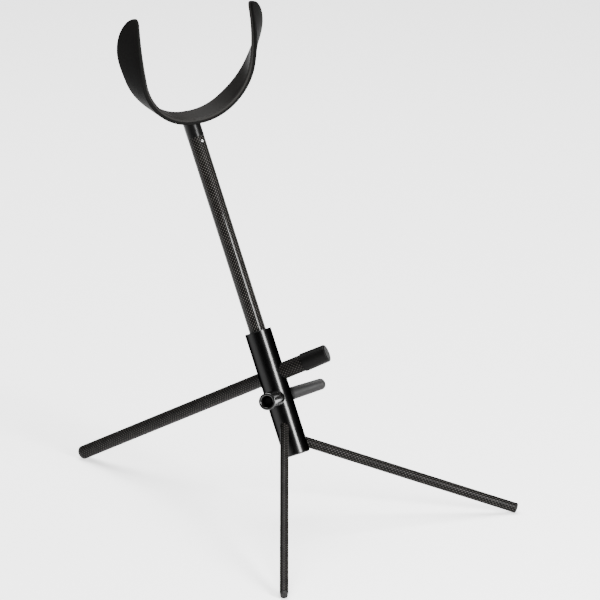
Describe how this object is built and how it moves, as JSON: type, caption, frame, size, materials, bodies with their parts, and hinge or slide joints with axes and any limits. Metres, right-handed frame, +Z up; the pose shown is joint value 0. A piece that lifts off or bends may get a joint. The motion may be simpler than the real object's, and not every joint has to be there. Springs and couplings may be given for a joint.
{
  "type": "saxophone stand",
  "caption": "Floor stand for a saxophone: a leaning carbon tube with a U-shaped bell rest, two pegs for the bow and three plug-in legs.",
  "frame": {"origin": "on the floor, under the middle of the stand's outline", "axes": "+Z up; +X across the stand, to the side of the thicker front leg; the bell rest faces -Y and the post leans back towards +Y"},
  "size_m": [0.3725, 0.4805, 0.5408],
  "materials": {
    "anodised_black": "black anodised, glossy",
    "bare_alloy": "turned",
    "black_plastic": "moulded",
    "collar_black": "smooth",
    "carbon_gloss": "clear-coated woven carbon fibre",
    "carbon_leg": "woven carbon fibre, satin",
    "black_rubber": "moulded",
    "sleeve_black": "smooth",
    "foot_rubber": "moulded",
    "ring_rubber": "smooth",
    "grey_rubber": "soft, matte",
    "steel": "turned",
    "dark_steel": "blackened",
    "yoke_shell": "satin",
    "yoke_soft": "soft, satin"
  },
  "bodies": {
    "hub": {"body_tube": "anodised_black", "hub_core": "bare_alloy", "bottom_plug": "black_plastic", "front_stub": "carbon_leg", "front_cap": "black_rubber", "left_peg_pin": "steel", "left_finger": "black_rubber", "left_sleeve": "sleeve_black", "right_peg_pin": "steel", "right_finger": "grey_rubber", "keeper_screw": "dark_steel"},
    "bush": {"post_bush": "black_plastic", "bush_rings": "ring_rubber"},
    "post": {"upper_tube": "carbon_gloss", "yoke_collar": "collar_black", "collar_pin": "steel", "seat_washer": "ring_rubber", "seat_screw": "steel"},
    "yoke": {"yoke_band": "yoke_shell", "yoke_lining": "yoke_soft"},
    "rear_leg_group": {"rear_leg": "carbon_leg", "rear_leg_insert": "bare_alloy", "rear_foot": "foot_rubber"},
    "left_leg_group": {"left_leg": "carbon_leg", "left_leg_insert": "bare_alloy", "left_foot": "foot_rubber"},
    "right_leg_group": {"right_leg": "carbon_leg", "right_leg_insert": "bare_alloy", "right_foot": "foot_rubber"}
  },
  "joints": [
    {"name": "post_turn", "type": "hinge", "parent": "hub", "child": "bush", "pos_m": [0, -0.04352, 0.16645], "axis": [0, 0.4131, 0.9107], "continuous": true},
    {"name": "post_pull", "type": "slide", "parent": "bush", "child": "post", "axis": [0, 0.4131, 0.9107], "range_m": [0, 0.045]},
    {"name": "yoke_turn", "type": "hinge", "parent": "post", "child": "yoke", "pos_m": [0, 0.06914, 0.41479], "axis": [-0.066, -0.0778, 0.9948], "range_deg": [-90, 90]},
    {"name": "rear_leg_pull", "type": "slide", "parent": "hub", "child": "rear_leg_group", "axis": [0, 0.8854, -0.4648], "range_m": [0, 0.03]},
    {"name": "left_leg_pull", "type": "slide", "parent": "hub", "child": "left_leg_group", "axis": [-0.6715, -0.6191, -0.4072], "range_m": [0, 0.025]},
    {"name": "right_leg_pull", "type": "slide", "parent": "hub", "child": "right_leg_group", "axis": [0.6902, -0.6409, -0.336], "range_m": [0, 0.025]}
  ]
}
